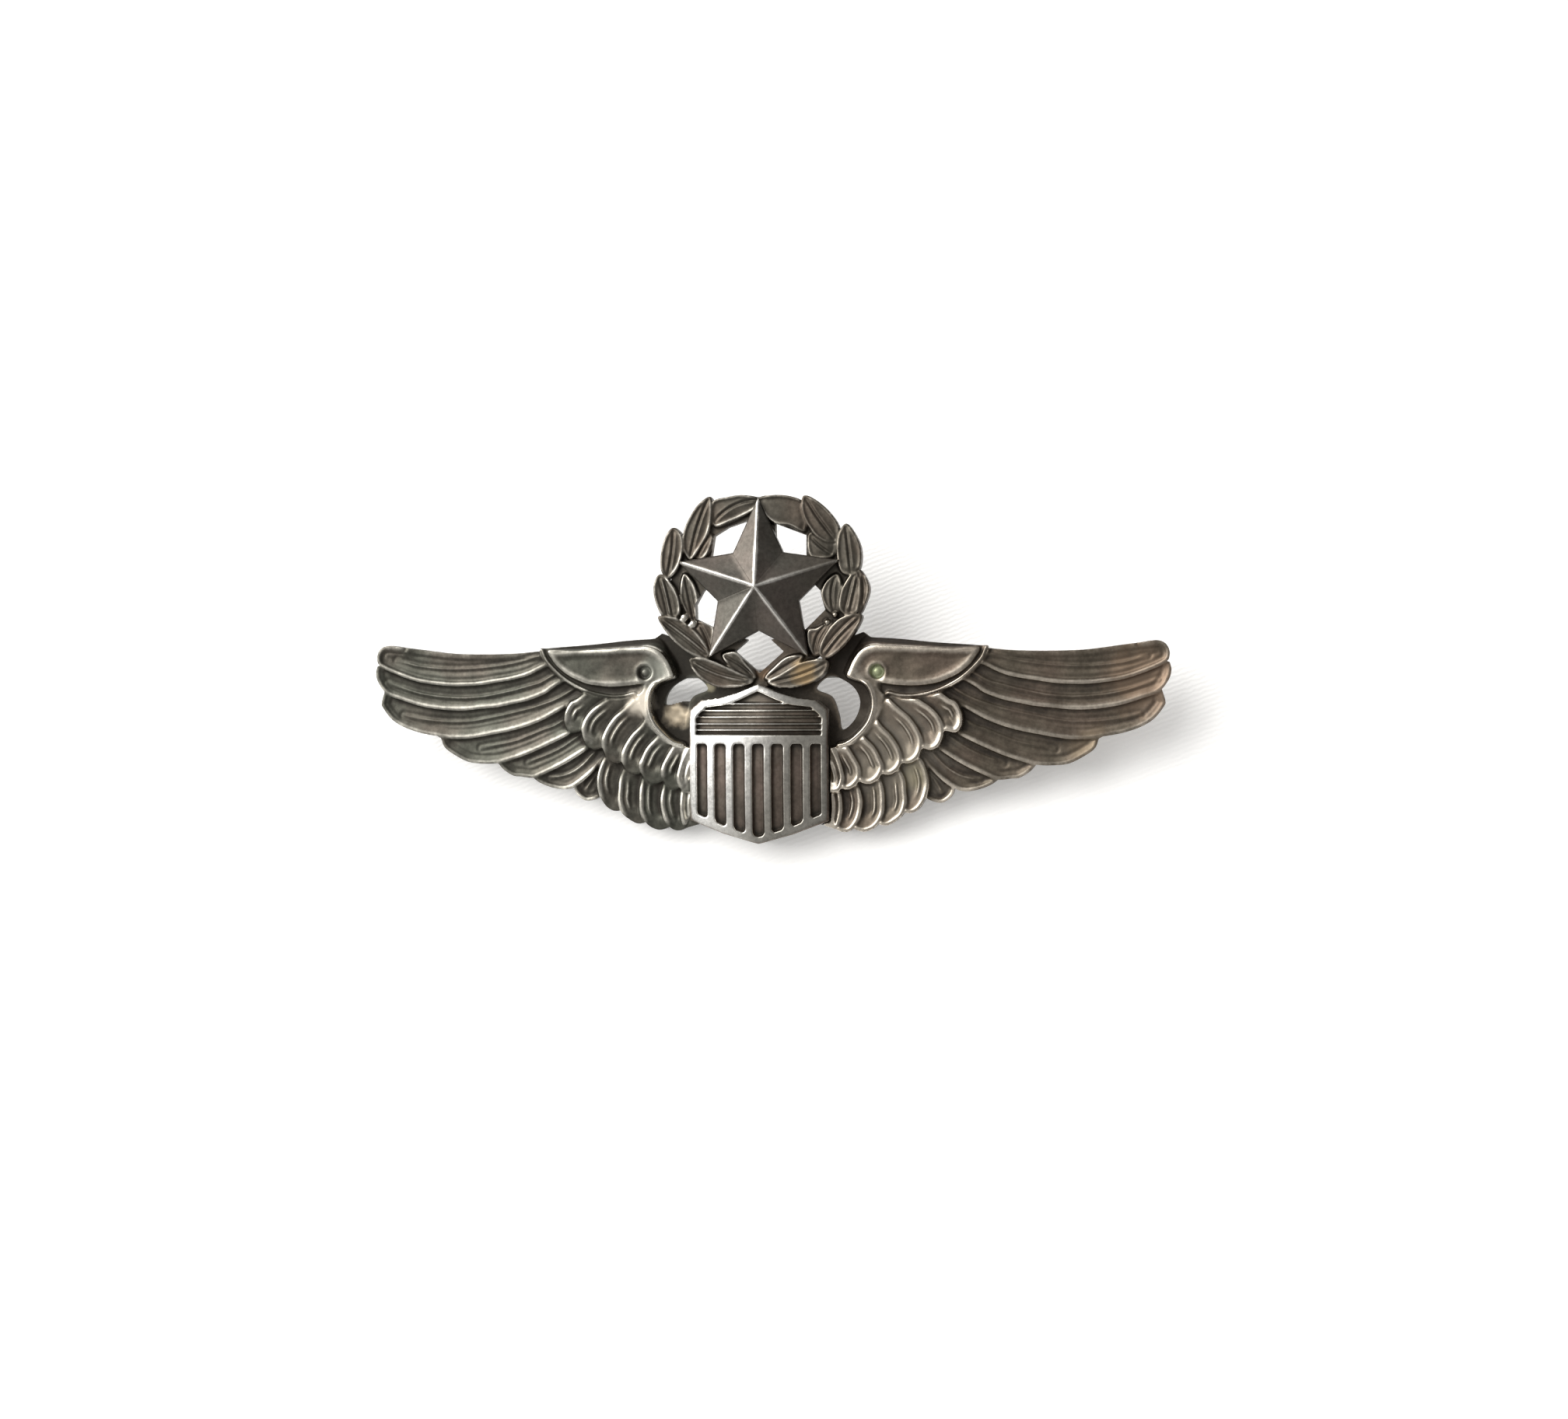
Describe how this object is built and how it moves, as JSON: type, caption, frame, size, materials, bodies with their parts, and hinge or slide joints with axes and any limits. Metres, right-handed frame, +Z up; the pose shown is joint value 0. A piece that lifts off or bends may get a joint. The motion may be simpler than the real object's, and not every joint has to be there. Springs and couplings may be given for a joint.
{
  "type": "pilot wings badge",
  "caption": "Feathered pilot wings badge with a striped shield, a star in a laurel wreath, and a hinged pin that closes into a turning safety catch on the back.",
  "frame": {"origin": "on the axis of the closed pin, at the middle of the badge", "axes": "+X along the closed pin towards its point, to the right as the face is seen; +Y away from the face, towards the cloth; +Z up"},
  "size_m": [0.0764, 0.0097, 0.0327],
  "materials": {
    "patinated_silver": "sterling silver, darkened by tarnish in the hollows and rubbed bright on the ridges",
    "polished_silver": "sterling silver, rubbed bright, with dark tarnish in the grooves",
    "dark_silver": "sterling silver with heavy brown-black tarnish and worn leaf edges",
    "star_silver": "sterling silver facets, lightly tarnished, with bright worn edges",
    "finding_silver": "dull sterling silver",
    "pin_wire": "drawn hard silver wire, lightly polished"
  },
  "bodies": {
    "badge": {"wings_plate": "patinated_silver", "shield": "polished_silver", "wreath": "dark_silver", "star": "star_silver", "hinge_base": "finding_silver", "hinge_bracket": "finding_silver", "hinge_rivet": "finding_silver", "catch_base": "finding_silver", "catch_housing": "finding_silver"},
    "pin": {"pin_stem": "pin_wire"},
    "catch": {"catch_roller": "finding_silver"}
  },
  "joints": [
    {"name": "pin_swing", "type": "hinge", "parent": "badge", "child": "pin", "pos_m": [-0.017, 0, 0], "axis": [0, 0, 1], "range_deg": [0, 100]},
    {"name": "catch_roll", "type": "hinge", "parent": "badge", "child": "catch", "pos_m": [0.017, 0, 0], "axis": [1, 0, 0], "range_deg": [0, 125]}
  ]
}
